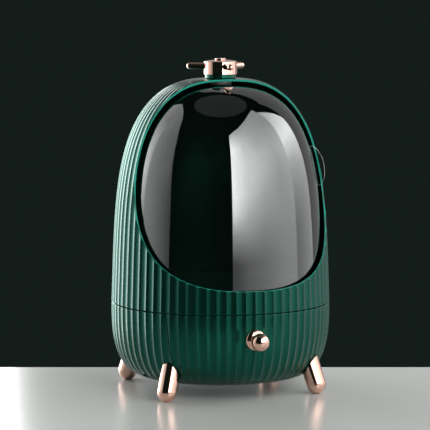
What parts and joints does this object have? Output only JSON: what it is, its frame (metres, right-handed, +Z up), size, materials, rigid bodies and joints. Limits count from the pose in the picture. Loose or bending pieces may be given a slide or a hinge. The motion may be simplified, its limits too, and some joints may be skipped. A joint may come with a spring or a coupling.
{
  "type": "dustproof makeup organizer",
  "caption": "Egg-shaped fluted cosmetics organizer with a turning clear visor, a slide-out drawer, splayed metal legs and a star handle.",
  "frame": {"origin": "centre of the overall box's base, on the plane that the four feet stand on", "axes": "+Z up along the visor's axis, the front with the opening and the drawer faces -Y, +X to the right seen from the front"},
  "size_m": [0.26, 0.2876, 0.3922],
  "materials": {
    "satin_green": "satin moulded ABS",
    "dark_green": "fine matt moulded ABS",
    "smoke_clear": "smoke-tinted polished acrylic",
    "clear": "clear polished acrylic",
    "rose_gold": "mirror-polished rose gold plating",
    "steel": "plain zinc-plated steel",
    "grey_nylon": "plain moulded nylon"
  },
  "bodies": {
    "housing": {"upper_shell": "satin_green", "track_deck": "dark_green", "base_shell": "satin_green", "drawer_runner_left": "grey_nylon", "drawer_runner_right": "grey_nylon", "leg_front_right": "rose_gold", "leg_back_right": "rose_gold", "leg_back_left": "rose_gold", "leg_front_left": "rose_gold", "leg_screw_front_right": "steel", "leg_screw_back_right": "steel", "leg_screw_back_left": "steel", "leg_screw_front_left": "steel", "shell_screw_front_right": "steel", "shell_screw_back_right": "steel", "shell_screw_back_left": "steel", "shell_screw_front_left": "steel", "base_screw_front_right": "steel", "base_screw_back_right": "steel", "base_screw_back_left": "steel", "base_screw_front_left": "steel", "pivot_spacer": "grey_nylon", "pivot_washer": "steel", "pivot_nut": "steel", "pivot_bolt": "steel", "handle_collar": "satin_green", "handle_hub": "rose_gold", "handle_arm_front": "rose_gold", "handle_arm_right": "rose_gold", "handle_arm_left": "rose_gold", "handle_cap": "rose_gold"},
    "visor": {"visor_dome": "smoke_clear", "visor_tab": "clear"},
    "drawer": {"drawer_front": "satin_green", "drawer_tub": "dark_green", "knob_flange": "rose_gold", "knob_ball": "rose_gold", "knob_screw": "steel"}
  },
  "joints": [
    {"name": "visor_turn", "type": "hinge", "parent": "housing", "child": "visor", "pos_m": [0, 0.0138, 0.3613], "axis": [0, 0, 1], "range_deg": [-140, 0]},
    {"name": "drawer_slide", "type": "slide", "parent": "housing", "child": "drawer", "axis": [0, -1, 0], "range_m": [0, 0.12]}
  ]
}
